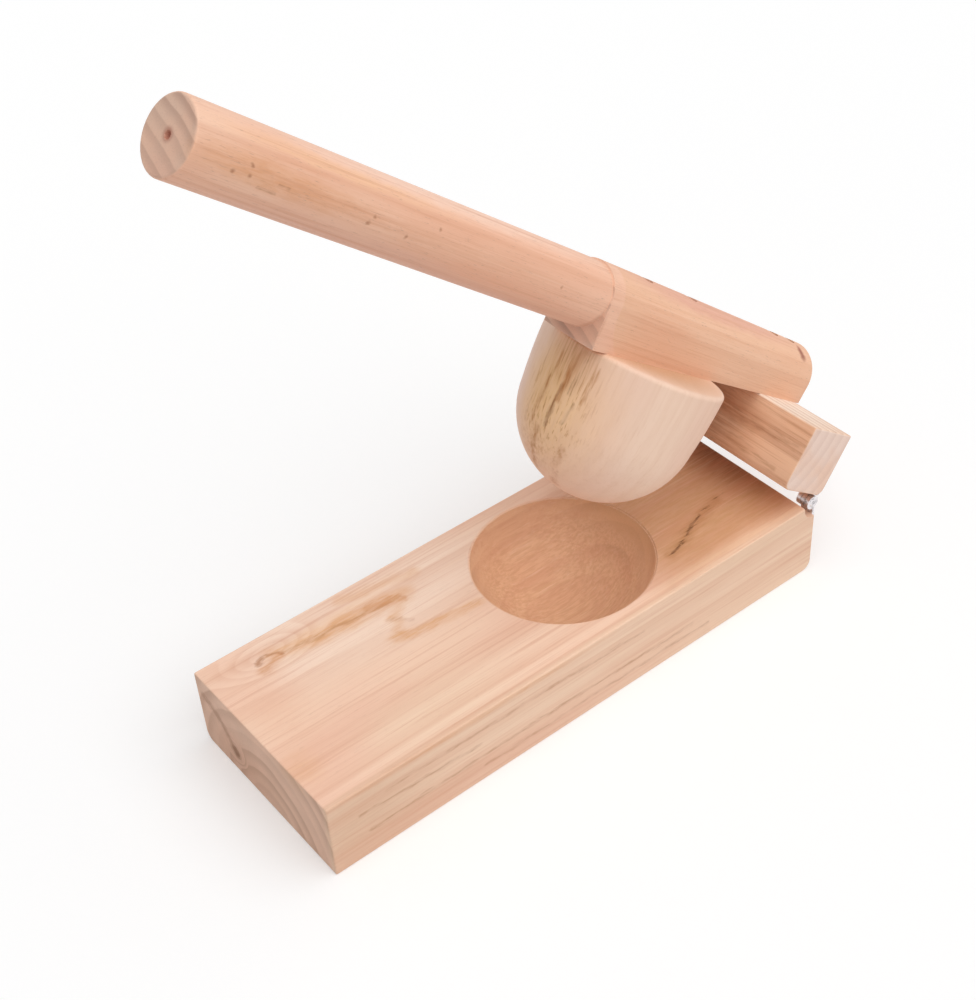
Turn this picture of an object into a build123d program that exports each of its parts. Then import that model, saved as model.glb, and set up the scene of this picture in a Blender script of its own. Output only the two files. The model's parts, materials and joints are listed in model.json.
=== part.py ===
from build123d import *
import math
import os

# A wooden dough press: a heavy base board with a round bowl cut in its top, and a lever that
# swings on two small hinges at the back and carries a domed press head into the bowl.
# Axes: X across the board, Y along it with the hinges at +Y and the grip at -Y, Z up.
# The origin is the centre of the board's underside. Every size is in millimetres, angles in degrees.
# The lever assembly is laid out closed and level, then swung open about the hinge axis.

# Base board
base_width = 100.0
base_length = 277.0
base_height = 40.3
base_edge_ease = 0.8
base_foot_round = 5.0

# Bowl, a part of a ball sunk into the top of the board
bowl_ball_radius = 45.0
bowl_depth = 30.0
bowl_setback = 112.3
bowl_rim_ease = 0.6

# Hinge axis, measured from the board's top back edge
axis_before_back = 0.2
axis_below_top = 1.0
cove_radius = 6.9

# Hinge block, which carries the lever
block_width = 100.0
block_depth = 31.5
block_height = 31.5
block_edge_ease = 0.8
block_foot_round = 4.0
level_gap = 3.5

# Lever: a turned round grip in front, and a squared length with a crowned top behind
grip_radius = 14.1
grip_reach = 373.5
grip_axis_height = 11.3
grip_rise_angle = 2.7
grip_end_ease = 1.2
crown_radius = 15.0
crown_axis_height = 9.7
crown_rise_angle = 3.2
lever_overhang = 3.0
lever_edge_ease = 0.6
shoulder_setback = 158.5
shoulder_length = 2.5
shoulder_growth = 9.4
centre_mark_radius = 1.6
centre_mark_depth = 3.0

# Press head, turned with a domed end and sides that widen a little towards the lever
head_radius = 40.4
head_side_slope = 3.8
head_height = 68.0
head_setback = 108.8
head_side_bulge = 0.5
head_edge_ease = 2.2

# Small butt hinges, one near each end of the block
hinge_width = 7.0
hinge_inset = 1.8
leaf_length = 26.0
leaf_thickness = 1.4
leaf_corner_radius = 1.5
pin_radius = 1.6
pin_head_height = 0.35
pin_clearance = 0.05
knuckle_radius = 3.5
knuckle_gap = 0.2
knuckle_count = 3
notch_clearance = 0.4
seam_width = 0.3
leaf_screw_first = 9.0
leaf_screw_pitch = 10.5

# Countersunk screws of two sizes
leaf_screw_radius = 1.3
leaf_screw_head_radius = 2.4
leaf_screw_head_height = 1.2
leaf_screw_length = 16.0
lever_screw_radius = 2.0
lever_screw_head_radius = 3.6
lever_screw_head_height = 2.4
lever_screw_length = 45.0
lever_screw_sink = 5.0
screw_point_length = 4.0
screw_tip_radius = 0.2
screw_fit = 0.05
recess_width_share = 0.26
recess_reach_share = 0.62
recess_depth_share = 0.7
head_screw_spacing = 34.0
block_screw_spacing = 15.0

# How far the lever stands open at rest, from the board's top
rest_angle = 35.7

# Places worked out from the sizes above, with the lever level
back_face = base_length / 2
axis_y = back_face - axis_before_back
axis_z = base_height - axis_below_top
block_bottom = base_height + level_gap
lever_seat = block_bottom + block_height
bowl_y = back_face - bowl_setback
bowl_rim_radius = math.sqrt(bowl_ball_radius**2 - (bowl_ball_radius - bowl_depth) ** 2)
head_y = back_face - head_setback
hinge_centre_x = base_width / 2 - hinge_inset - hinge_width / 2
hinge_axis = Axis((0, axis_y, axis_z), (1, 0, 0))

# A length longer than anything here, for cutting tools
beyond = base_length + grip_reach


def swung_open(shape):
    """Swing a piece of the lever assembly from level to its resting angle."""
    return shape.rotate(hinge_axis, -rest_angle)


def box_between(low, high):
    """A box from its lowest corner to its highest."""
    size = [h - l for l, h in zip(low, high)]
    return Pos(*low) * Box(*size, align=(Align.MIN, Align.MIN, Align.MIN))


def turned(*outline):
    """A piece turned about Z, from the radius and height of each corner of its half outline."""
    return revolve(Plane.XZ * make_face(Polyline(*outline, close=True)), Axis.Z)


def lying_along_x(piece, x, y, z):
    """Lay a turned piece down across the press, with its origin at the given place."""
    return Pos(x, y, z) * Rot(0, 90, 0) * piece


def along_x(radius, x_low, x_high, y, z):
    """A round bar that runs across the press."""
    length = x_high - x_low
    return lying_along_x(turned((0, 0), (radius, 0), (radius, length), (0, length)), x_low, y, z)


def edges_on(shape, axis, at, tolerance=0.01):
    """The edges of a shape that lie wholly at one place along an axis."""
    return shape.edges().filter_by_position(axis, at - tolerance, at + tolerance)


# Wooden pieces


def board_blank():
    """The board with its eased edges, and its rounded bottom edges at the left and the back."""
    half = base_width / 2
    blank = box_between((-half, -back_face, 0), (half, back_face, base_height))
    foot_edges = edges_on(blank, Axis.Z, 0).sort_by(Axis.X)[:1]
    foot_edges += edges_on(blank, Axis.Z, 0).sort_by(Axis.Y)[-1:]
    blank = fillet(foot_edges, base_foot_round)
    upright = blank.edges().filter_by(Axis.Z)
    top_edges = edges_on(blank, Axis.Z, base_height)
    return fillet(list(upright) + list(top_edges), base_edge_ease)


def bowl_cutter():
    """The ball that sinks the bowl, with a small cone that eases its rim."""
    ball = Pos(0, bowl_y, base_height - bowl_depth + bowl_ball_radius) * Sphere(bowl_ball_radius)
    rim = Cone(bowl_rim_radius, bowl_rim_radius + bowl_rim_ease, bowl_rim_ease)
    return ball + Pos(0, bowl_y, base_height - bowl_rim_ease / 2) * rim


def make_base_board():
    """Base board with the bowl, the cove beside the hinge barrels and the screw holes."""
    half = base_width / 2
    cove = along_x(cove_radius, -half, half, axis_y, axis_z)
    board = board_blank() - bowl_cutter() - cove
    for side in (-1, 1):
        for drop in leaf_screw_drops():
            board -= leaf_screw_hole(side, axis_z - drop)
    return board


def make_hinge_block():
    """Square cross block that the lever is screwed to and the hinges carry."""
    half = block_width / 2
    block = box_between((-half, back_face - block_depth, block_bottom), (half, back_face, lever_seat))
    foot_edges = edges_on(block, Axis.Z, block_bottom).filter_by(Axis.X)
    block = fillet(foot_edges, block_foot_round)
    others = edges_on(block, Axis.X, -half) + edges_on(block, Axis.X, half)
    block = fillet(others + edges_on(block, Axis.Z, lever_seat).filter_by(Axis.X), block_edge_ease)
    for side in (-1, 1):
        for drop in leaf_screw_drops():
            block -= leaf_screw_hole(side, axis_z + drop)
    for y in block_screw_places():
        block -= lever_screw_hole(y)
    return block


def lever_line(height, rise_angle):
    """Frame on the lever: its Z runs forward and up, from above the block's back edge."""
    start = Pos(0, back_face, lever_seat)
    return start * Rot(90 - rise_angle, 0, 0) * Pos(0, height, 0)


def make_grip():
    """Round turned grip, eased at its front end, with the lathe's centre mark in it."""
    inside = shoulder_setback - 2 * shoulder_length
    rod = turned(
        (0, inside),
        (grip_radius, inside),
        (grip_radius, grip_reach),
        (centre_mark_radius, grip_reach),
        (0, grip_reach - centre_mark_depth),
    )
    rim = [e for e in edges_on(rod, Axis.Z, grip_reach) if e.radius > centre_mark_radius]
    return lever_line(grip_axis_height, grip_rise_angle) * fillet(rim, grip_end_ease)


def crowned_bar():
    """Squared length of the lever, with upright sides and a round crown, longer than needed."""
    flank = 2 * crown_radius
    section = Circle(crown_radius) + Pos(0, -flank / 2) * Rectangle(2 * crown_radius, flank)
    bar = extrude(section, shoulder_setback + 2 * shoulder_length)
    bar = Pos(0, 0, -shoulder_length) * bar
    return lever_line(crown_axis_height, crown_rise_angle) * bar


def shoulder_envelope():
    """Space left by turning the shoulder: a cone that opens backwards from the grip."""
    wide = grip_radius + 2 * shoulder_growth
    back = shoulder_setback - 2 * shoulder_length
    space = turned(
        (0, -beyond), (wide, -beyond), (wide, back), (grip_radius, shoulder_setback), (0, shoulder_setback)
    )
    return lever_line(grip_axis_height, grip_rise_angle) * space


def make_lever_arm():
    """Lever: the grip and the squared length in one, cut flat to seat on block and head."""
    rear_end = back_face + lever_overhang
    room = box_between(
        (-crown_radius, -beyond, lever_seat), (crown_radius, rear_end, lever_seat + beyond)
    )
    squared = crowned_bar() & shoulder_envelope() & room
    rear_edges = edges_on(squared, Axis.Y, rear_end)
    squared = fillet(rear_edges, lever_edge_ease)
    arm = squared + make_grip()
    for y in lever_screw_places():
        arm -= lever_screw_hole(y)
    return arm


def make_press_head():
    """Turned head: a short drum that narrows into a ball end, eased round its top."""
    dome_centre = head_radius - head_height
    slope = math.radians(head_side_slope)
    start = (head_radius * math.cos(slope), dome_centre - head_radius * math.sin(slope))
    top = (start[0] - start[1] * math.tan(slope), 0)
    side = SagittaArc(top, start, head_side_bulge)
    outline = Line((0, 0), top) + side
    outline += CenterArc((0, dome_centre), head_radius, -head_side_slope, head_side_slope - 90)
    head = revolve(Plane.XZ * make_face(outline + Line((0, -head_height), (0, 0))), Axis.Z)
    head = fillet(edges_on(head, Axis.Z, 0), head_edge_ease)
    head = Pos(0, head_y, lever_seat) * head
    for y in head_screw_places():
        head -= lever_screw_hole(y)
    return head


# Screws and their holes


def screw(radius, head_radius_top, head_depth, length):
    """Countersunk screw that points down, with the top of its head at the origin."""
    whole = turned(
        (0, 0),
        (head_radius_top, 0),
        (radius, -head_depth),
        (radius, screw_point_length - length),
        (screw_tip_radius, -length),
        (0, -length),
    )
    reach = 2 * recess_reach_share * head_radius_top
    width = recess_width_share * head_radius_top
    depth = 2 * recess_depth_share * head_depth
    return whole - Box(reach, width, depth) - Box(width, reach, depth)


def screw_hole(radius, head_radius_top, head_depth, length, above):
    """The hole for such a screw, open above its head."""
    return turned(
        (0, above),
        (head_radius_top + screw_fit, above),
        (head_radius_top + screw_fit, 0),
        (radius + screw_fit, -head_depth),
        (radius + screw_fit, screw_point_length - length),
        (screw_tip_radius + screw_fit, -length - screw_fit),
        (0, -length - screw_fit),
    )


def leaf_screw_drops():
    """Distances of the leaf screws from the hinge axis."""
    return [leaf_screw_first, leaf_screw_first + leaf_screw_pitch]


def leaf_screw_frame(side, z):
    """Where a leaf screw goes in: at the leaf's outer face, pointing forward."""
    return Pos(side * hinge_centre_x, leaf_back_face(), z) * Rot(-90, 0, 0)


def leaf_screw_hole(side, z):
    hole = screw_hole(
        leaf_screw_radius, leaf_screw_head_radius, leaf_screw_head_height, leaf_screw_length,
        leaf_thickness
    )
    return leaf_screw_frame(side, z) * hole


def make_leaf_screws(side, direction):
    """The two screws of one leaf: direction is -1 down the board, 1 up the block."""
    one = screw(leaf_screw_radius, leaf_screw_head_radius, leaf_screw_head_height, leaf_screw_length)
    screws = [leaf_screw_frame(side, axis_z + direction * drop) * one for drop in leaf_screw_drops()]
    if direction > 0:
        screws = [swung_open(each) for each in screws]
    return Compound(children=screws)


def head_screw_places():
    return [head_y - head_screw_spacing / 2, head_y + head_screw_spacing / 2]


def block_screw_places():
    middle = back_face - block_depth / 2
    return [middle - block_screw_spacing / 2, middle + block_screw_spacing / 2]


def lever_screw_places():
    return head_screw_places() + block_screw_places()


def crown_top(y):
    """Height of the lever's crown at a place along it."""
    forward = back_face - y
    slope = math.tan(math.radians(crown_rise_angle))
    lean = math.cos(math.radians(crown_rise_angle))
    return lever_seat + (crown_axis_height + crown_radius) / lean + forward * slope


def lever_screw_frame(y):
    return Pos(0, y, crown_top(y) - lever_screw_sink)


def lever_screw_hole(y):
    hole = screw_hole(
        lever_screw_radius, lever_screw_head_radius, lever_screw_head_height, lever_screw_length,
        2 * lever_screw_sink
    )
    return lever_screw_frame(y) * hole


def make_lever_screws(places):
    """Screws sunk into the lever's crown at the given places along it."""
    one = screw(
        lever_screw_radius, lever_screw_head_radius, lever_screw_head_height, lever_screw_length
    )
    return Compound(children=[swung_open(lever_screw_frame(y) * one) for y in places])


# Hinges


def leaf_back_face():
    """The outer face of a leaf that is screwed to the back of the board or the block."""
    return back_face + leaf_thickness


def knuckle_spans():
    """Start and end of each knuckle along the barrel, from its left end, with running gaps."""
    pitch = (hinge_width + knuckle_gap) / knuckle_count
    starts = [i * pitch for i in range(knuckle_count)]
    return [(start, start + pitch - knuckle_gap) for start in starts]


def make_leaf(side, direction, first_knuckle):
    """Leaf of one hinge: direction is -1 for the board's, 1 for the block's.

    The plate lies on the wood and is cut back beside the other leaf's knuckles. Its own
    knuckles are rolled round the pin, and a fine seam shows where each roll ends.
    """
    left = side * hinge_centre_x - hinge_width / 2
    right = left + hinge_width
    root = knuckle_radius + notch_clearance
    near, far = sorted((axis_z + direction * root, axis_z + direction * leaf_length))
    plate = box_between((left, back_face, near), (right, leaf_back_face(), far))
    tip = axis_z + direction * leaf_length
    tip_corners = edges_on(plate.edges().filter_by(Axis.Y), Axis.Z, tip)
    leaf = fillet(tip_corners, leaf_corner_radius)
    for start, end in knuckle_spans()[first_knuckle::2]:
        low, high = sorted((axis_z, axis_z + direction * (root + leaf_corner_radius)))
        neck = box_between((left + start, back_face, low), (left + end, leaf_back_face(), high))
        leaf += along_x(knuckle_radius, left + start, left + end, axis_y, axis_z) + neck
    leaf -= along_x(pin_radius + pin_clearance, left, right, axis_y, axis_z)
    for start, end in knuckle_spans()[first_knuckle::2]:
        seam_low, seam_high = sorted((axis_z, axis_z + direction * knuckle_radius))
        seam_y = back_face - seam_width
        leaf -= box_between((left + start, seam_y, seam_low), (left + end, back_face, seam_high))
    for drop in leaf_screw_drops():
        leaf -= leaf_screw_hole(side, axis_z + direction * drop)
    return leaf


def make_pin(side):
    """Hinge pin with a low peened head at each end."""
    swell = pin_radius + pin_head_height
    far = hinge_width
    pin = turned(
        (0, -pin_head_height),
        (pin_radius, -pin_head_height),
        (swell, 0),
        (pin_radius, 0),
        (pin_radius, far),
        (swell, far),
        (pin_radius, far + pin_head_height),
        (0, far + pin_head_height),
    )
    return lying_along_x(pin, side * hinge_centre_x - hinge_width / 2, axis_y, axis_z)


def make_all():
    """Every node of the press at rest, by name."""
    nodes = {
        "base_board": make_base_board(),
        "hinge_block": swung_open(make_hinge_block()),
        "lever_arm": swung_open(make_lever_arm()),
        "press_head": swung_open(make_press_head()),
        "head_screws": make_lever_screws(head_screw_places()),
        "block_screws": make_lever_screws(block_screw_places()),
    }
    for name, side in (("left", -1), ("right", 1)):
        nodes["base_leaf_" + name] = make_leaf(side, -1, 0)
        nodes["block_leaf_" + name] = swung_open(make_leaf(side, 1, 1))
        nodes["hinge_pin_" + name] = make_pin(side)
        nodes["base_leaf_screws_" + name] = make_leaf_screws(side, -1)
        nodes["block_leaf_screws_" + name] = make_leaf_screws(side, 1)
    return nodes


os.makedirs("parts", exist_ok=True)
for node_name, node_shape in make_all().items():
    export_step(node_shape, "parts/" + node_name + ".step")
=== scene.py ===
"""A wooden dough press on a pale floor: its timber and steel finishes, the studio and the camera."""

import json
import math
from dataclasses import dataclass, field

import bpy
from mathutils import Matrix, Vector


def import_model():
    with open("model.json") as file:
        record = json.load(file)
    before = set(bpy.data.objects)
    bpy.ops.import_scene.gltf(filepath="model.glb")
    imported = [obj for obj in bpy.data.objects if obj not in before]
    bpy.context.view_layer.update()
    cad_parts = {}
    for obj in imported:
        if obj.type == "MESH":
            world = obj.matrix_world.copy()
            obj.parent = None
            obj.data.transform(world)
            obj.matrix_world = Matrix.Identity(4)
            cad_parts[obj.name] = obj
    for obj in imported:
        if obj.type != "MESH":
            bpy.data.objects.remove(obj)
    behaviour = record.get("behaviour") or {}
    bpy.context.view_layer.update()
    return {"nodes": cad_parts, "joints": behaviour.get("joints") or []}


MM = 0.001  # metres in a millimetre: the finishes below are written in millimetres
PER_MM = (1 / MM, 1 / MM, 1 / MM)  # turns a place in metres into one in millimetres

# Camera, as the photograph was taken
LONGER_SIDE = 1000  # the picture's height in pixels, which the sensor's width stands for
FOCAL_PIXELS = 1677.4
SENSOR = 36.0
CAMERA_PLACE = (0.4349, -0.3319, 0.5520)
CAMERA_TURN = (49.78, 2.94, 51.29)

# Studio
SKY_LIGHT = 0.42
KEY_LIGHT = 1.85
KEY_TURN = (-8, 24, 0)
KEY_SOFTNESS = 80
WHITE = (1.0, 1.0, 1.0, 1.0)
FLOOR_SIZE = 12.0
FLOOR_SHADE = 0.80
FLOOR_GRAIN = 0.01
FLOOR_LIFT = 0.23

# The press
REST_OPENING = 35.7  # the lever's angle above level at rest, degrees
LEVER_RISE = 2.8  # how much steeper the lever's own grain runs
BLOCK_FRONT = -31.3  # the cross block's front, from the hinge
BOWL_BALL = (0, 55.3, 26.2)  # middle of the ball that the bowl is cut by
BOWL_REACH = 45.5  # just past that ball

# Waves in a millimetre of each pattern in the wood, across the grain and along it
RING_DRIFT = (0.018, 0.004)
RING_RIPPLE = (0.10, 0.008)
BLOTCHES = (0.030, 0.012)
CLOUDS = (0.07, 0.07)
BANDS = (0.12, 0.004)
FIBRES = (0.60, 0.010)
FINE_FIBRES = (2.1, 0.035)
PORES = (2.4, 0.24)
END_PORES = (1.7, 1.7)
EDGE_DRIFT = (0.28, 0.09)
STREAKS_ACROSS = 0.85

# Levels of a pattern's noise at which it starts to show and shows in full
BLOTCH_LEVELS = (0.34, 0.64)
CLOUD_LEVELS = (0.35, 0.7)
BAND_LEVELS = (0.48, 0.74)
FIBRE_LEVELS = (0.50, 0.74)
PALE_FIBRE_LEVELS = (0.46, 0.28)
FINE_FIBRE_LEVELS = (0.52, 0.80)
PORE_LEVELS = (0.60, 0.76)
SUNK_PORE_LEVELS = (0.6, 0.8)
END_PORE_LEVELS = (0.48, 0.80)
BROAD_STREAK_LEVELS = (0.40, 0.62)
THIN_STREAK_LEVELS = (0.55, 0.68)
END_GRAIN = (0.55, 0.97)  # how squarely a surface cuts the grain where end grain starts and is full

# Growth rings
LATE_WOOD = (0.15, 0.86)  # where in a ring its dark late wood starts and is darkest
RING_CLOSE = (1.0, 0.88)  # where the ring ends, and where its late wood starts to fade
FAINTEST_RING = 0.25
RIPPLE_SHARE = 0.5  # how much of the rings' wander is short ripples
KNOT_PUSH = 3.5  # how many rings a knot pushes aside
KNOT_FADE = 1.6  # a knot is felt out to this many times its reach
KNOT_LENGTH = 0.45  # the lower, the further a knot is felt along the grain

# How strongly the patterns show: the shares are shares of the strength of the timber's fibres
BAND_SHARE = 0.7
PALE_FIBRE_SHARE = 0.6
FINE_FIBRE_SHARE = 0.8
CLOUD_STRENGTH = 0.35
END_PORE_STRENGTH = 0.24

# Relief, sheen and wear
FIBRE_RISE = -0.8  # below zero the darker fibres lie lower
FINE_FIBRE_RISE = -0.5
PORE_SINK = 0.5
RELIEF_DEPTH = 0.25  # millimetres
EDGE_WEAR = 1.1  # how far in from an edge the rubbing reaches, in millimetres
EDGE_SAMPLES = 4
EDGE_BEND = (0.985, 0.86)  # cosines of the bends at which the rubbing starts and is full
RUBBED_FIBRE_LEVELS = (0.62, 0.40)
RUBBED_PALENESS = 0.45
RUBBED_POLISH = 0.14
ROUGHNESS_SPREAD = 0.24
WOOD_SHINE = 0.35

# Plated steel
BRUSHING = (0.4, 9.0, 9.0)  # waves in a millimetre along the hinge and across it
HANDLING = (0.35, 0.35, 0.35)
HANDLED_LEVELS = (0.45, 0.7)
HANDLED_TONE = 0.72  # how much of its brightness a handled place keeps
HANDLED_ROUGHNESS = 0.22
BRUSHED_LEVELS = (0.5, 0.8)
BRUSHED_STRENGTH = 0.3
BRUSHED_ROUGHNESS = 0.12
BRUSHED_RELIEF = 0.25
BRUSHED_DEPTH = 0.05  # millimetres

NOISE_MIDDLE = (0.5, 0.5, 0.5)
NOISE_SWING = 4  # brings noise's usual swing, about a quarter each way, up to one
THIN = 2.0  # a zone broken by this much shows as thin streaks alone


def paint(red, green, blue):
    """A colour written as it looks on a screen, 0 to 255, in the linear form that a shader takes."""

    def linear(level):
        share = level / 255
        return share / 12.92 if share <= 0.04045 else ((share + 0.055) / 1.055) ** 2.4

    return (linear(red), linear(green), linear(blue), 1.0)


class Graph:
    """A material's or the world's nodes, built one value at a time."""

    def __init__(self, owner):
        owner.use_nodes = True
        self.tree = owner.node_tree
        self.tree.nodes.clear()

    def node(self, kind, inputs=None, **settings):
        made = self.tree.nodes.new(kind)
        for name, value in settings.items():
            setattr(made, name, value)
        for name, value in (inputs or {}).items():
            self.put(made.inputs[name], value)
        return made

    def put(self, socket, value):
        if isinstance(value, bpy.types.NodeSocket):
            self.tree.links.new(value, socket)
        else:
            socket.default_value = value

    def math(self, operation, *values, clamp=False):
        inputs = dict(enumerate(values))
        return self.node("ShaderNodeMath", inputs, operation=operation, use_clamp=clamp).outputs[0]

    def vector(self, operation, *values):
        made = self.node("ShaderNodeVectorMath", dict(enumerate(values)), operation=operation)
        return made.outputs["Value" if operation in ("LENGTH", "DOT_PRODUCT", "DISTANCE") else "Vector"]

    def ease(self, value, low, high):
        """0 at low, 1 at high, smooth between them."""
        inputs = {"Value": value, "From Min": low, "From Max": high}
        return self.node("ShaderNodeMapRange", inputs, interpolation_type="SMOOTHSTEP").outputs[0]

    def mix(self, share, low, high):
        made = self.node("ShaderNodeMix", {0: share, 6: low, 7: high}, data_type="RGBA")
        return made.outputs[2]

    def scaled(self, share, factor):
        return self.math("MULTIPLY", share, factor)

    def stretch(self, point, across, along):
        """The point in a space where noise is thin across the grain and long along it."""
        return self.vector("MULTIPLY", point, (across, across, along))

    def noise(self, point, detail=2.0, roughness=0.5):
        inputs = {"Vector": point, "Scale": 1.0, "Detail": detail, "Roughness": roughness}
        return self.node("ShaderNodeTexNoise", inputs).outputs

    def split(self, point):
        return self.node("ShaderNodeSeparateXYZ", {0: point}).outputs

    def join(self, x, y, z):
        return self.node("ShaderNodeCombineXYZ", {0: x, 1: y, 2: z}).outputs[0]

    def distance_to_line(self, point, start, end):
        """How far a point is from the straight stretch between two places."""
        span = Vector(end) - Vector(start)
        offset = self.vector("SUBTRACT", point, start)
        share = self.scaled(self.vector("DOT_PRODUCT", offset, span), 1 / span.length_squared)
        within = self.math("ADD", share, 0.0, clamp=True)
        nearest = self.node("ShaderNodeVectorMath", {0: span, "Scale": within}, operation="SCALE")
        return self.vector("DISTANCE", offset, nearest.outputs[0])

    def distance_to_route(self, point, route):
        """How far a point is from a chain of straight stretches, or from a single place."""
        if len(route) == 1:
            return self.vector("DISTANCE", point, route[0])
        nearest = None
        for start, end in zip(route, route[1:]):
            distance = self.distance_to_line(point, start, end)
            nearest = distance if nearest is None else self.math("MINIMUM", nearest, distance)
        return nearest


@dataclass
class Patch:
    """A zone of the timber with a tone of its own, in millimetres; some of these tones are painted shade
    and some painted light.
    """

    centre: tuple
    reach: tuple  # half its size across, up and along the grain, as the grain space has them
    colour: tuple
    strength: float = 0.8
    softness: float = 0.9  # how wide its edge fades, as a share of its reach
    broken: float = 0.0  # how far the fibres break it up
    raggedness: float = 1.0  # how far its edge wanders, in millimetres


@dataclass
class Mark:
    """A stain, crack, pin hole or knot: a route through the timber, in millimetres, and its colour."""

    route: list
    radius: float
    colour: tuple
    strength: float = 0.8
    softness: float = 0.95  # how much of the radius fades out
    broken: float = 0.5
    raggedness: float = 1.0
    depth: float = 0.0  # how much the surface sinks there


@dataclass
class Timber:
    """One kind of wood, and how the piece was cut from it."""

    along: str  # the axis that the grain follows
    pale: tuple
    warm: tuple
    ring: tuple
    end: tuple
    end_ring: tuple
    pith: tuple  # the middle of the growth rings, across the grain
    ring_width: float
    ring_strength: float
    end_ring_strength: float
    wander: float  # how far the growth rings stray along the trunk
    fibre: float  # how much the fibres show
    flecks: float  # how much the short dark pores show
    streak: float = 0.10  # how quickly its streaks break off along the grain: low is long
    roughness: float = 0.60
    relief: float = 0.5  # how deep the fibres stand
    swung: float = None  # degrees that the piece is swung up from level, about the hinge
    patches: list = field(default_factory=list)
    marks: list = field(default_factory=list)
    knots: list = field(default_factory=list)  # (place, reach) of each swirl in the grain


def grain_space(g, timber, hinge):
    """The point in millimetres and the surface's direction, both with Z along the grain."""
    coordinates = g.node("ShaderNodeTexCoord").outputs
    point, normal = coordinates["Object"], coordinates["Normal"]
    if timber.swung is not None:
        turn = (-math.radians(timber.swung), 0, 0)
        place = {"Vector": point, "Location": hinge, "Rotation": turn}
        point = g.node("ShaderNodeMapping", place, vector_type="TEXTURE").outputs[0]
        facing = {"Vector": normal, "Rotation": turn}
        normal = g.node("ShaderNodeMapping", facing, vector_type="TEXTURE").outputs[0]
    point = g.vector("MULTIPLY", point, PER_MM)
    order = {"x": (1, 2, 0), "y": (0, 2, 1), "z": (0, 1, 2)}[timber.along]
    turned = []
    for value in (point, normal):
        parts = g.split(value)
        turned.append(g.join(*[parts[axis] for axis in order]))
    return turned


def growth_rings(g, timber, point):
    """Where in its growth ring a point lies, and a level of its own for each ring."""
    slow = g.noise(g.stretch(point, *RING_DRIFT))[1]
    quick = g.noise(g.stretch(point, *RING_RIPPLE))[0]
    centred = g.vector("SUBTRACT", slow, NOISE_MIDDLE)
    reach = NOISE_SWING * timber.wander
    drift = g.vector("MULTIPLY", centred, (reach, reach, 0))
    across = g.vector("MULTIPLY", point, (1, 1, 0))
    from_pith = g.vector("SUBTRACT", g.vector("ADD", across, drift), (*timber.pith, 0))
    radius = g.vector("LENGTH", from_pith)
    radius = g.math("ADD", radius, g.scaled(quick, RIPPLE_SHARE * timber.wander))
    for place, knot_reach in timber.knots:
        nearness = swirl(g, point, place, knot_reach)
        radius = g.math("ADD", radius, g.scaled(nearness, KNOT_PUSH * timber.ring_width))
    count = g.math("DIVIDE", radius, timber.ring_width)
    phase = g.math("FRACT", count)
    level = g.node("ShaderNodeTexWhiteNoise", {"W": g.math("FLOOR", count)}, noise_dimensions="1D")
    return phase, level.outputs["Value"]


def swirl(g, point, place, reach):
    """1 at a knot, fading out around it, further along the grain than across it."""
    offset = g.vector("SUBTRACT", point, place)
    offset = g.vector("MULTIPLY", offset, (1 / reach, 1 / reach, KNOT_LENGTH / reach))
    distance = g.vector("LENGTH", offset)
    return g.ease(distance, KNOT_FADE, 0.0)


def ring_line(g, phase, level):
    """The darker late wood that closes each ring, stronger in some rings than in others."""
    rise = g.ease(phase, *LATE_WOOD)
    fall = g.ease(phase, *RING_CLOSE)
    line = g.math("MULTIPLY", rise, fall)
    return g.math("MULTIPLY", line, g.math("MULTIPLY_ADD", level, 1 - FAINTEST_RING, FAINTEST_RING))


def strayed(g, point, drift, raggedness):
    """The point, pushed aside by the drift so that an edge laid through it wanders."""
    if not raggedness:
        return point
    reach = NOISE_SWING * raggedness
    return g.vector("ADD", point, g.vector("MULTIPLY", drift, (reach, reach, reach)))


def patch_share(g, point, patch, drift, breaks):
    """How strongly a patch colours a point."""
    offset = g.vector("SUBTRACT", strayed(g, point, drift, patch.raggedness), patch.centre)
    offset = g.vector("MULTIPLY", offset, [1 / reach for reach in patch.reach])
    share = g.ease(g.vector("LENGTH", offset), 1.0, 1.0 - patch.softness)
    return broken_up(g, share, patch, breaks)


def mark_share(g, point, mark, drift, breaks):
    """How strongly a mark colours a point."""
    distance = g.distance_to_route(strayed(g, point, drift, mark.raggedness), mark.route)
    share = g.ease(distance, mark.radius, mark.radius * (1 - mark.softness))
    return broken_up(g, share, mark, breaks)


def broken_up(g, share, zone, breaks):
    """The share with part of it left to broad streaks of the fibres, or all of it to thin ones."""
    broad, thin = breaks
    if zone.broken >= THIN:
        return g.math("MULTIPLY", share, thin)
    if not zone.broken:
        return share
    kept = g.math("MULTIPLY_ADD", broad, zone.broken, 1 - zone.broken)
    return g.math("MULTIPLY", share, kept)


def timber_tone(g, timber, point, ends, drift, breaks):
    """The wood's colour at a point before its lines are drawn."""
    blotches = g.noise(g.stretch(point, *BLOTCHES))[0]
    clouds = g.noise(g.stretch(point, *CLOUDS))[0]
    side = g.mix(g.ease(blotches, *BLOTCH_LEVELS), timber.pale, timber.warm)
    cut = g.mix(g.scaled(g.ease(clouds, *CLOUD_LEVELS), CLOUD_STRENGTH), timber.end, timber.warm)
    colour = g.mix(ends, side, cut)
    # the patches include painted shade and painted light, laid on like the wood's own tones
    for patch in timber.patches:
        share = patch_share(g, point, patch, drift, breaks)
        colour = g.mix(g.scaled(share, patch.strength), colour, patch.colour)
    return colour


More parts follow.
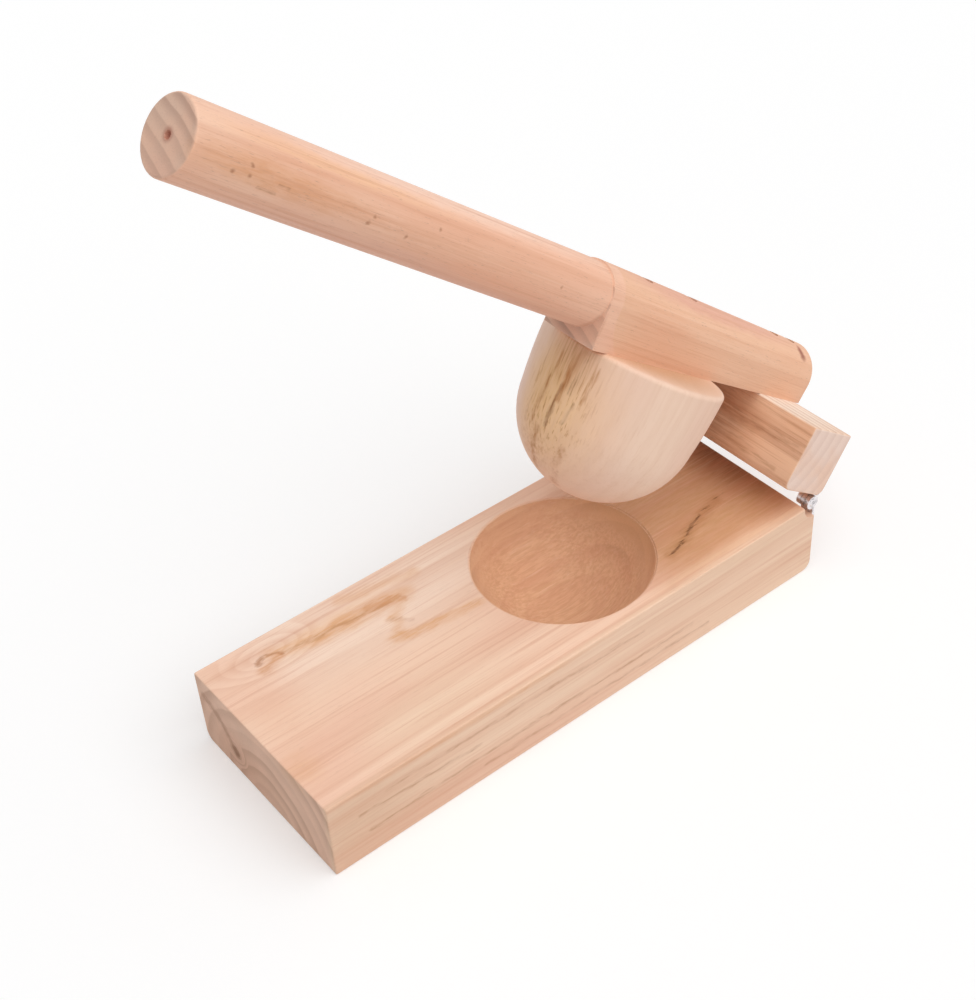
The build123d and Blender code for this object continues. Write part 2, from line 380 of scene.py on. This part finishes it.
def side_lines(g, timber, point, colour, line, sides):
    """Draws the lines of the grain along a piece: its colour, its height and its fine fibres."""
    fibres = g.noise(g.stretch(point, *FIBRES), detail=3.0, roughness=0.62)[0]
    fine = g.noise(g.stretch(point, *FINE_FIBRES), roughness=0.6)[0]
    bands = g.noise(g.stretch(point, *BANDS), roughness=0.55)[0]
    pores = g.noise(g.stretch(point, *PORES), roughness=0.7)[0]
    # each layer is where it shows, how strongly, and its tone
    layers = [
        (g.ease(bands, *BAND_LEVELS), BAND_SHARE * timber.fibre, timber.ring),
        (line, timber.ring_strength, timber.ring),
        (g.ease(fibres, *FIBRE_LEVELS), timber.fibre, timber.ring),
        (g.ease(fibres, *PALE_FIBRE_LEVELS), PALE_FIBRE_SHARE * timber.fibre, timber.pale),
        (g.ease(fine, *FINE_FIBRE_LEVELS), FINE_FIBRE_SHARE * timber.fibre, timber.ring),
        (g.ease(pores, *PORE_LEVELS), timber.flecks, timber.end_ring),
    ]
    for share, strength, tone in layers:
        share = g.math("MULTIPLY", share, sides)
        colour = g.mix(g.scaled(share, strength), colour, tone)
    height = g.math("ADD", g.scaled(fibres, FIBRE_RISE), g.scaled(fine, FINE_FIBRE_RISE))
    height = g.math("SUBTRACT", height, g.scaled(g.ease(pores, *SUNK_PORE_LEVELS), PORE_SINK))
    return colour, height, fine


def end_lines(g, timber, point, colour, line, ends):
    """Draws the rings and open pores of a sawn end."""
    pores = g.noise(g.stretch(point, *END_PORES), detail=3.0, roughness=0.65)[0]
    line = g.math("MULTIPLY", line, ends)
    colour = g.mix(g.scaled(line, timber.end_ring_strength), colour, timber.end_ring)
    pores = g.math("MULTIPLY", g.ease(pores, *END_PORE_LEVELS), ends)
    return g.mix(g.scaled(pores, END_PORE_STRENGTH), colour, timber.end_ring)


def timber_colour(g, timber, point, normal):
    """The wood's colour at a point, how much the surface stands up there, and its fine fibres."""
    phase, level = growth_rings(g, timber, point)
    line = ring_line(g, phase, level)
    drift = g.noise(g.stretch(point, *EDGE_DRIFT), detail=3.0, roughness=0.6)[1]
    drift = g.vector("SUBTRACT", drift, NOISE_MIDDLE)
    streaks = g.noise(g.stretch(point, STREAKS_ACROSS, timber.streak), detail=3.0, roughness=0.62)[0]
    breaks = (g.ease(streaks, *BROAD_STREAK_LEVELS), g.ease(streaks, *THIN_STREAK_LEVELS))
    ends = g.ease(g.math("ABSOLUTE", g.split(normal)[2]), *END_GRAIN)
    sides = g.math("SUBTRACT", 1.0, ends)
    colour = timber_tone(g, timber, point, ends, drift, breaks)
    colour, height, fine = side_lines(g, timber, point, colour, line, sides)
    colour = end_lines(g, timber, point, colour, line, ends)
    for mark in timber.marks:
        share = mark_share(g, point, mark, drift, breaks)
        colour = g.mix(g.scaled(share, mark.strength), colour, mark.colour)
        if mark.depth:
            height = g.math("SUBTRACT", height, g.scaled(share, mark.depth))
    return colour, height, fine


def worn_edge(g, reach):
    """1 along the piece's edges, where hands and the table rub them, and 0 away from them."""
    rounded = g.node("ShaderNodeBevel", {"Radius": reach * MM}, samples=EDGE_SAMPLES).outputs[0]
    straight = g.node("ShaderNodeNewGeometry").outputs["Normal"]
    return g.ease(g.vector("DOT_PRODUCT", rounded, straight), *EDGE_BEND)


def wood(name, timber, hinge):
    """A material for one piece of timber."""
    material = bpy.data.materials.new(name)
    g = Graph(material)
    point, normal = grain_space(g, timber, hinge)
    colour, height, fine = timber_colour(g, timber, point, normal)
    rubbed = g.math("MULTIPLY", worn_edge(g, EDGE_WEAR), g.ease(fine, *RUBBED_FIBRE_LEVELS))
    colour = g.mix(g.scaled(rubbed, RUBBED_PALENESS), colour, timber.pale)
    smoothest = timber.roughness - ROUGHNESS_SPREAD / 2
    roughness = g.math("MULTIPLY_ADD", fine, ROUGHNESS_SPREAD, smoothest)
    roughness = g.math("SUBTRACT", roughness, g.scaled(rubbed, RUBBED_POLISH))
    relief = {"Height": height, "Strength": timber.relief, "Distance": RELIEF_DEPTH * MM}
    bump = g.node("ShaderNodeBump", relief).outputs[0]
    surface = {
        "Base Color": colour,
        "Roughness": roughness,
        "Normal": bump,
        "Specular IOR Level": WOOD_SHINE,
    }
    shader = g.node("ShaderNodeBsdfPrincipled", surface)
    g.node("ShaderNodeOutputMaterial", {"Surface": shader.outputs[0]})
    return material


def base_faces(board):
    """The board's top, right side and front, in millimetres."""
    corners = [Vector(corner) / MM for corner in board.bound_box]
    top = max(corner.z for corner in corners)
    side = max(corner.x for corner in corners)
    front = min(corner.y for corner in corners)
    return top, side, front


def base_patches(top, side, front):
    """The board's tones, with painted shade and painted light among them, placed as (across the board,
    height, along the board).
    """
    return [
        # Top, from the front to the bowl
        Patch(
            (34, top, -72), (28, 12, 56), paint(251, 220, 192),
            strength=0.85, broken=0.1, raggedness=2.0,
        ),
        # Pale wood on the left, lifted further by painted light where the lever's shadow falls
        Patch(
            (-34, top, -60), (40, 12, 95), paint(255, 227, 206),
            strength=0.9, softness=0.6, broken=0.1, raggedness=2.0,
        ),
        Patch(
            (-34, top, -76), (10, 8, 44), paint(244, 194, 144),
            strength=0.7, softness=0.95, broken=0.5, raggedness=2.0,
        ),
        Patch(
            (26, top, -133), (15, 10, 12), paint(238, 186, 138),
            strength=0.5, softness=0.95, broken=0.4, raggedness=2.0,
        ),
        Patch(
            (-10, top, -125), (60, 10, 22), paint(246, 198, 170),
            strength=0.5, broken=0.3, raggedness=2.0,
        ),
        # Top, behind the bowl, with painted shade under the head and the block
        # Tan zone: partly the wood's own tone, partly painted shade under the head and the lever
        Patch(
            (8, top, 96), (76, 14, 74), paint(214, 164, 120),
            strength=1.0, softness=0.55, broken=0.15, raggedness=2.0,
        ),
        # Painted shade: the deep shade at the board's rear edge under the block, painted as dark brown
        Patch(
            (-12, top, 138), (58, 12, 34), paint(118, 68, 38),
            strength=0.85, broken=0.15, raggedness=2.0,
        ),
        Patch((48, top, 100), (10, 8, 76), paint(248, 208, 176), strength=0.85, softness=0.8, broken=0.2),
        # Right side, with a golden line under its upper edge
        Patch((side, 20, 0), (4, 60, 400), paint(245, 212, 184), softness=0.5, broken=0.1, raggedness=0.0),
        Patch((side, 20, -125), (4, 50, 62), paint(226, 186, 156), strength=0.75, broken=0.2),
        Patch((side, 5, -50), (4, 12, 130), paint(236, 188, 162), strength=0.7, broken=0.3),
        Patch(
            (side, 38.6, -60), (3, 2.4, 100), paint(226, 164, 112),
            strength=0.6, broken=0.5, raggedness=0.4,
        ),
        # Bowl
        Patch(
            BOWL_BALL, (BOWL_REACH, BOWL_REACH, BOWL_REACH), paint(236, 188, 146),
            strength=0.9, softness=0.015, raggedness=0.0,
        ),
        Patch((14, 16, 10), (22, 12, 26), paint(246, 204, 164), strength=0.7, broken=0.3),
        Patch((-4, 24, 30), (44, 22, 44), paint(202, 146, 102), strength=0.32, softness=0.3, broken=0.95),
        # Front
        Patch((-20, 12, front), (44, 22, 8), paint(214, 166, 138), strength=0.6, raggedness=2.0),
    ]


def base_marks(top, side, front):
    """The board's stains, crack and knots, placed as its patches are."""
    gold = paint(226, 164, 106)
    amber = paint(214, 146, 94)
    brown = paint(172, 108, 64)
    soot = paint(112, 72, 38)
    return [
        # The long gold stain, its darker middle and its far end
        Mark(
            [(-37, top, -106), (-32.5, top, -92), (-31.5, top, -70), (-29.5, top, -40)], 7.0, gold,
            strength=0.55, softness=0.97, broken=0.35, raggedness=2.2,
        ),
        Mark(
            [(-34, top, -103), (-32.6, top, -84), (-30.6, top, -62), (-28, top, -44)], 2.2, brown,
            strength=0.38, softness=0.97, broken=0.6, raggedness=1.6,
        ),
        Mark(
            [(-32, top, -60), (-30, top, -48), (-28, top, -44)], 3.4, amber,
            strength=0.6, broken=0.3, raggedness=2.2,
        ),
        # The hook of the knot at its near end, and a smudge before it
        Mark(
            [(-35.8, top, -115), (-38.2, top, -109.5), (-36.4, top, -105.5), (-33.8, top, -104)],
            1.7, brown, strength=0.7, broken=0.15, raggedness=1.6,
        ),
        Mark(
            [(-31, top, -115), (-34, top, -106)], 5.0, amber,
            strength=0.7, softness=0.97, broken=0.4, raggedness=2.0,
        ),
        # Spots beside the stain, and fainter stains on either side of it
        Mark(
            [(-27, top, -47), (-20, top, -53)], 5.0, gold,
            strength=0.42, softness=0.97, broken=0.4, raggedness=2.4,
        ),
        Mark(
            [(-20, top, -54), (-10, top, -58)], 5.0, gold,
            strength=0.45, softness=0.97, broken=0.4, raggedness=2.4,
        ),
        Mark([(-20, top, -56), (-14, top, -50)], 2.2, brown, strength=0.25, softness=0.97, raggedness=1.8),
        Mark(
            [(-9, top, -62), (-5, top, -44), (-3, top, -20)], 4.5, gold,
            strength=0.65, softness=0.97, raggedness=2.0,
        ),
        Mark(
            [(-45, top, -66), (-41, top, -50), (-38, top, -30)], 5.0, gold,
            strength=0.4, broken=0.4, raggedness=2.0,
        ),
        # The crack behind the bowl, in the stain that it left
        Mark(
            [(30.5, top, 65), (28.5, top, 73), (23, top, 86), (17, top, 106)], 5.5, paint(184, 126, 74),
            strength=0.55, broken=0.3, raggedness=1.6,
        ),
        Mark(
            [(30.6, top, 65), (28.9, top, 72), (25.6, top, 80), (21, top, 91)], 2.1, soot,
            strength=0.95, softness=0.8, broken=THIN, depth=1.2,
        ),
        Mark(
            [(30.4, top, 66), (29.2, top, 71)], 1.3, soot,
            strength=0.9, softness=0.8, broken=0.3, depth=1.2,
        ),
        Mark(
            [(26, top, 79), (22.6, top, 87), (20.2, top, 93)], 1.1, soot,
            strength=0.75, softness=0.8, broken=0.4, raggedness=1.2, depth=1.0,
        ),
        Mark(
            [(20.2, top, 93), (17.2, top, 105), (13.8, top, 118)], 1.7, soot,
            softness=0.9, broken=THIN, raggedness=1.2, depth=0.8,
        ),
        # Dark lines along the right side
        Mark([(side, 26, -124), (side, 24, -95), (side, 22.5, -62)], 1.6, brown, strength=0.5, broken=0.7),
        Mark([(side, 31, -110), (side, 30, -40), (side, 28, 30)], 1.5, brown, strength=0.4, broken=0.8),
        Mark([(side, 14, -120), (side, 15, -40), (side, 13, 60)], 1.6, brown, strength=0.45, broken=0.8),
        Mark([(side, 8, -60), (side, 8.6, 10), (side, 7.5, 70)], 1.6, brown, strength=0.4, broken=0.7),
        # The knot on the front, and the dark line that runs into it
        Mark(
            [(-22.5, 12, front), (-23.5, 13.5, front)], 5.2, paint(140, 92, 60),
            strength=0.9, broken=0.0, raggedness=1.2,
        ),
        Mark(
            [(-44, 30, front), (-34, 26, front), (-26, 17, front)], 4.0, paint(168, 120, 92),
            strength=0.6, broken=0.0, raggedness=1.6,
        ),
    ]


def base_timber(board):
    """Pale pinkish board: the grain runs along its length, with a knot and streaks on its top."""
    faces = base_faces(board)
    top, _, front = faces
    return Timber(
        along="y",
        pale=paint(253, 217, 191),
        warm=paint(249, 205, 180),
        ring=paint(218, 158, 126),
        end=paint(228, 188, 163),
        end_ring=paint(172, 124, 96),
        pith=(4, -8),
        ring_width=9.0,
        ring_strength=0.28,
        end_ring_strength=0.46,
        wander=2.5,
        fibre=0.40,
        flecks=0.14,
        patches=base_patches(*faces),
        marks=base_marks(*faces),
        knots=[((-38, top, -108), 9.0), ((-22.5, 13, front), 6.0)],
    )


def block_timber(swung):
    """Cross block: rough sawn on its front, the grain along its length."""
    # places are written as (towards the back, height, across), from the hinge
    patches = [
        # Painted shade darkening the streaky front under the lever, and the pale top
        Patch(
            (BLOCK_FRONT, 18, -14), (12, 40, 46), paint(126, 78, 48),
            strength=0.85, broken=0.2, raggedness=2.0,
        ),
        Patch(
            (-16, 37, 0), (60, 2.4, 90), paint(252, 236, 220),
            strength=0.95, softness=0.5, broken=0.05, raggedness=0.0,
        ),
    ]
    marks = [
        Mark(
            [(BLOCK_FRONT, 24, 44), (BLOCK_FRONT, 22, 22), (BLOCK_FRONT, 24, 0)], 3.4, paint(160, 102, 62),
            strength=0.4, broken=0.7, raggedness=2.0,
        ),
        Mark(
            [(BLOCK_FRONT, 10, 40), (BLOCK_FRONT, 12, 10)], 2.6, paint(170, 112, 70),
            strength=0.35, broken=0.8, raggedness=2.0,
        ),
    ]
    return Timber(
        along="x",
        pale=paint(250, 206, 172),
        warm=paint(244, 190, 152),
        ring=paint(186, 122, 84),
        end=paint(247, 219, 204),
        end_ring=paint(208, 166, 146),
        pith=(-70, 40),
        ring_width=6.5,
        ring_strength=0.35,
        end_ring_strength=0.26,
        wander=2.5,
        fibre=0.50,
        flecks=0.30,
        roughness=0.72,
        relief=0.9,
        swung=swung,
        patches=patches,
        marks=marks,
    )


def lever_patches():
    """The lever's tones, with painted shade and a painted highlight on the grip, placed as (across, height,
    along), from the hinge.
    """
    return [
        # Grip
        # Painted shade: the grip's lower side darkened
        Patch((4, 34, -260), (20, 15, 170), paint(230, 180, 158), strength=0.95, softness=0.7, broken=0.15),
        Patch((15, 46, -270), (10, 9, 130), paint(232, 176, 144), strength=0.7, broken=0.3, raggedness=1.5),
        Patch((14, 48, -340), (10, 8, 58), paint(226, 162, 118), broken=0.3, raggedness=1.5),
        Patch((12, 41, -225), (10, 8, 70), paint(240, 178, 146), strength=0.7, broken=0.3, raggedness=1.5),
        # Cream wood along the grip's top, made paler still as a painted highlight
        Patch((4, 62, -260), (12, 7, 150), paint(255, 220, 200), strength=0.95, broken=0.2),
        Patch((9, 57, -310), (6, 3.5, 80), paint(250, 202, 160), strength=0.7, broken=0.4, raggedness=1.5),
        # Squared length
        Patch(
            (0, 47, -75), (40, 40, 84.5), paint(240, 190, 156),
            strength=0.9, softness=0.02, broken=0.15, raggedness=0.2,
        ),
        Patch((16, 48, -125), (8, 16, 40), paint(240, 182, 148), strength=0.7, broken=0.3),
        Patch((5, 62, -80), (14, 8, 84), paint(230, 172, 150), strength=0.85, softness=0.6, broken=0.2),
        # Shoulder, below and above
        Patch(
            (2, 36, -160), (30, 12, 3.6), paint(226, 174, 146),
            strength=0.75, softness=0.4, raggedness=0.0,
        ),
        Patch(
            (0, 62, -160), (40, 16, 4.0), paint(244, 196, 168),
            strength=0.95, softness=0.4, raggedness=0.0,
        ),
    ]


def lever_marks():
    """The lever's pin holes and stains, placed as its patches are."""
    dot = paint(168, 112, 80)
    holes = [
        (13.8, 49.2, -351.2),
        (14.0, 45.7, -350.7),
        (14.0, 45.7, -357.4),
        (14.0, 47.5, -295.1),
        (13.9, 44.5, -296.5),
        (14.0, 44.9, -277.8),
        (13.3, 51.4, -263.2),
        (14.1, 47.3, -191.3),
    ]
    marks = [Mark([hole], 1.3, dot, strength=0.7, broken=0.0, raggedness=0.8, depth=0.8) for hole in holes]
    marks += [
        # Scratches beside the holes
        Mark([(13.7, 43.4, -346), (13.7, 43.2, -338)], 0.9, dot, strength=0.6, broken=0.7, raggedness=0.8),
        Mark([(14.0, 46.3, -338), (14.0, 46.1, -334)], 0.9, dot, strength=0.5, broken=0.6, raggedness=0.8),
        # The reddish bruise at the crown's rear end
        Mark(
            [(5.5, 59.8, -8.2), (8, 58.6, -8.4)], 2.2, paint(196, 124, 104),
            strength=0.7, broken=0.0, raggedness=0.8,
        ),
        Mark(
            [(8, 58.6, -8.4), (10.3, 56.8, -7.8)], 3.4, paint(158, 92, 72),
            strength=0.9, broken=0.0, raggedness=0.8,
        ),
        # The lathe centre's hole in the grip's end
        Mark(
            [(0, 46.7, -377), (0, 46.7, -371)], 3.6, paint(168, 100, 80),
            strength=0.85, softness=0.8, broken=0.0, raggedness=0.1,
        ),
    ]
    return marks


def lever_timber(swung):
    """Salmon pink stick with fine lengthwise fibres and a few pin holes."""
    return Timber(
        along="y",
        pale=paint(250, 207, 180),
        warm=paint(244, 191, 162),
        ring=paint(214, 152, 118),
        end=paint(230, 193, 170),
        end_ring=paint(172, 132, 116),
        pith=(-45, -96),
        ring_width=5.2,
        ring_strength=0.22,
        end_ring_strength=0.75,
        wander=2.0,
        fibre=0.40,
        flecks=0.48,
        swung=swung,
        patches=lever_patches(),
        marks=lever_marks(),
    )


def head_patches(olive, umber):
    """The head's tones, with painted light on its left and painted shade on its top ledge, placed as
    (across, along the lever, height), from the hinge.
    """
    return [
        # The streaked heartwood, from its broad ground to its thin lines
        Patch(
            (4, -148, 4), (40, 32, 50), paint(250, 206, 166),
            strength=0.85, softness=0.8, broken=0.1, raggedness=2.0,
        ),
        Patch((0, -150, 8), (23, 24, 38), olive, broken=0.4, raggedness=2.0),
        Patch(
            (-6, -148, 14), (11, 18, 30), paint(226, 178, 118),
            strength=0.6, softness=0.95, broken=0.5, raggedness=1.5,
        ),
        Patch(
            (5, -150, 30), (18, 12, 22), paint(190, 136, 88),
            strength=0.75, softness=0.95, broken=0.5, raggedness=1.5,
        ),
        Patch((3, -150, 8), (28, 26, 40), umber, strength=0.75, broken=THIN, raggedness=2.0),
        Patch(
            (-4, -142, -18), (16, 20, 26), paint(216, 164, 120),
            strength=0.6, softness=0.95, broken=0.8, raggedness=2.0,
        ),
        # Pale wood on its left, lifted further by painted light where the key lamp reaches less, and the
        # top ledge
        Patch((-30, -134, -2), (19, 22, 46), paint(255, 222, 206), strength=1.0, softness=0.8, broken=0.1),
        # Top ledge: darker end grain, deepened with painted shade under the lever
        Patch(
            (0, -108.6, 38.5), (60, 60, 5.0), paint(208, 158, 116),
            strength=0.85, softness=0.4, broken=0.1, raggedness=0.0,
        ),
    ]


def head_marks(umber):
    """The dark veins in the head's heartwood, placed as its patches are."""
    soot = paint(146, 94, 54)
    return [
        Mark(
            [(3.6, -149.9, 16), (2.8, -149, 7), (2.2, -147.5, -3)], 1.7, soot,
            strength=0.75, broken=0.3, raggedness=1.4,
        ),
        Mark([(11.9, -148.3, 11), (9.9, -147.2, 1.8)], 1.6, soot, strength=0.6, broken=0.7),
        Mark(
            [(18.2, -145.9, 9.5), (18.0, -145.9, 8.5)], 1.4, umber,
            strength=0.7, broken=0.0, raggedness=0.5,
        ),
        Mark(
            [(-1.8, -146.3, -6.1), (-4.1, -138.9, -18), (-5, -132, -26)], 2.6, umber,
            strength=0.65, broken=0.4, raggedness=1.2,
        ),
        Mark([(7.3, -149.4, 32.2), (5.1, -149.7, 21.1), (4.2, -149.8, 9.3)], 3.4, umber, raggedness=1.2),
        Mark([(10, -149, 30), (8.5, -149.3, 14)], 1.6, soot, strength=0.55, broken=0.8),
        Mark(
            [(-2, -149.5, 28), (-4, -149, 12), (-6, -147, -6)], 2.0, umber,
            strength=0.75, broken=0.6, raggedness=1.4,
        ),
        Mark([(-10, -147, 10), (-11, -145, -6)], 1.8, umber, strength=0.6, broken=0.6, raggedness=1.4),
        Mark([(16, -147, 30), (15, -147, 14)], 1.6, umber, strength=0.6, broken=0.7, raggedness=1.4),
        Mark(
            [(12.8, -142.6, -9.1), (9, -136, -17), (5, -127, -27)], 3.2, umber,
            strength=0.55, broken=0.4, raggedness=1.4,
        ),
    ]


def head_timber(swung):
    """Turned head: streaked olive heartwood on one side and smooth pale wood on the other."""
    olive = paint(250, 206, 150)
    umber = paint(184, 120, 68)
    return Timber(
        along="z",
        pale=paint(248, 215, 192),
        warm=paint(245, 208, 186),
        ring=paint(222, 174, 140),
        end=paint(246, 210, 188),
        end_ring=paint(206, 160, 130),
        pith=(60, -60),
        ring_width=9.0,
        ring_strength=0.14,
        end_ring_strength=0.12,
        wander=3.0,
        fibre=0.22,
        flecks=0.08,
        streak=0.030,
        swung=swung,
        patches=head_patches(olive, umber),
        marks=head_marks(umber),
    )


def steel(name, colour, roughness):
    """Plated steel, faintly brushed along the hinge's length and dulled by handling."""
    handled_tone = paint(*[HANDLED_TONE * level for level in colour])
    brushed_tone = paint(120, 118, 120)
    material = bpy.data.materials.new(name)
    g = Graph(material)
    point = g.node("ShaderNodeTexCoord").outputs["Object"]
    point = g.vector("MULTIPLY", point, PER_MM)
    brushed = g.noise(g.vector("MULTIPLY", point, BRUSHING))[0]
    handled = g.noise(g.vector("MULTIPLY", point, HANDLING), detail=4.0, roughness=0.6)[0]
    handled = g.ease(handled, *HANDLED_LEVELS)
    tone = g.mix(handled, paint(*colour), handled_tone)
    lines = g.scaled(g.ease(brushed, *BRUSHED_LEVELS), BRUSHED_STRENGTH)
    tone = g.mix(lines, tone, brushed_tone)
    rough = g.math("MULTIPLY_ADD", handled, HANDLED_ROUGHNESS, roughness)
    rough = g.math("ADD", rough, g.scaled(brushed, BRUSHED_ROUGHNESS))
    relief = {"Height": brushed, "Strength": BRUSHED_RELIEF, "Distance": BRUSHED_DEPTH * MM}
    bump = g.node("ShaderNodeBump", relief)
    surface = {
        "Base Color": tone,
        "Metallic": 1.0,
        "Roughness": rough,
        "Normal": bump.outputs[0],
    }
    shader = g.node("ShaderNodeBsdfPrincipled", surface)
    g.node("ShaderNodeOutputMaterial", {"Surface": shader.outputs[0]})
    return material


def dress(frame):
    """Gives every piece its finish."""
    hinge = frame["joints"][0]["pos_m"]
    woods = {
        "base_board": base_timber(frame["nodes"]["base_board"]),
        "hinge_block": block_timber(REST_OPENING),
        "lever_arm": lever_timber(REST_OPENING + LEVER_RISE),
        "press_head": head_timber(REST_OPENING),
    }
    hinge_steel = steel("hinge_steel", (236, 232, 234), 0.30)
    screw_steel = steel("screw_steel", (196, 190, 182), 0.36)
    for name, piece in frame["nodes"].items():
        if name in woods:
            finish = wood(name + "_finish", woods[name], hinge)
        else:
            finish = screw_steel if "screws" in name else hinge_steel
        piece.data.materials.clear()
        piece.data.materials.append(finish)


def seen_directly(g):
    """1 for the camera's own rays and for what metal mirrors, 0 for the light that falls on things."""
    ways = g.node("ShaderNodeLightPath").outputs
    seen = g.math("MAXIMUM", ways["Is Camera Ray"], ways["Is Glossy Ray"])
    return g.math("MAXIMUM", seen, ways["Is Transmission Ray"])


def make_floor():
    """A pale floor that looks white and keeps the shadow."""
    bpy.ops.mesh.primitive_plane_add(size=FLOOR_SIZE)
    floor = bpy.context.object
    floor.name = "floor"
    material = bpy.data.materials.new("floor_finish")
    g = Graph(material)
    grain = g.noise(g.node("ShaderNodeTexCoord").outputs["Object"])[0]
    shade = g.math("MULTIPLY_ADD", grain, FLOOR_GRAIN, FLOOR_SHADE)
    matt = g.node("ShaderNodeBsdfDiffuse", {"Color": g.join(shade, shade, shade)})
    glow = g.scaled(seen_directly(g), FLOOR_LIFT)
    lift = g.node("ShaderNodeEmission", {"Color": WHITE, "Strength": glow})
    both = g.node("ShaderNodeAddShader", {0: matt.outputs[0], 1: lift.outputs[0]})
    g.node("ShaderNodeOutputMaterial", {"Surface": both.outputs[0]})
    floor.data.materials.append(material)


def make_light():
    """Even white surroundings and one broad soft light from above, behind and to the right."""
    world = bpy.data.worlds.new("studio")
    bpy.context.scene.world = world
    g = Graph(world)
    strength = g.math("MULTIPLY_ADD", seen_directly(g), 1 - SKY_LIGHT, SKY_LIGHT)
    sky = g.node("ShaderNodeBackground", {"Color": WHITE, "Strength": strength})
    g.node("ShaderNodeOutputWorld", {"Surface": sky.outputs[0]})
    key = bpy.data.lights.new("key", "SUN")
    key.energy = KEY_LIGHT
    key.angle = math.radians(KEY_SOFTNESS)
    lamp = bpy.data.objects.new("key", key)
    lamp.rotation_euler = [math.radians(turn) for turn in KEY_TURN]
    bpy.context.scene.collection.objects.link(lamp)


def make_camera():
    """The camera, standing where the photograph was taken from."""
    data = bpy.data.cameras.new("camera")
    data.sensor_width = SENSOR
    data.lens = SENSOR * FOCAL_PIXELS / LONGER_SIDE
    camera = bpy.data.objects.new("camera", data)
    camera.location = CAMERA_PLACE
    camera.rotation_euler = [math.radians(turn) for turn in CAMERA_TURN]
    bpy.context.scene.collection.objects.link(camera)
    bpy.context.scene.camera = camera


def main():
    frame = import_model()
    bpy.context.scene.view_settings.view_transform = "Standard"
    dress(frame)
    make_floor()
    make_light()
    make_camera()


main()
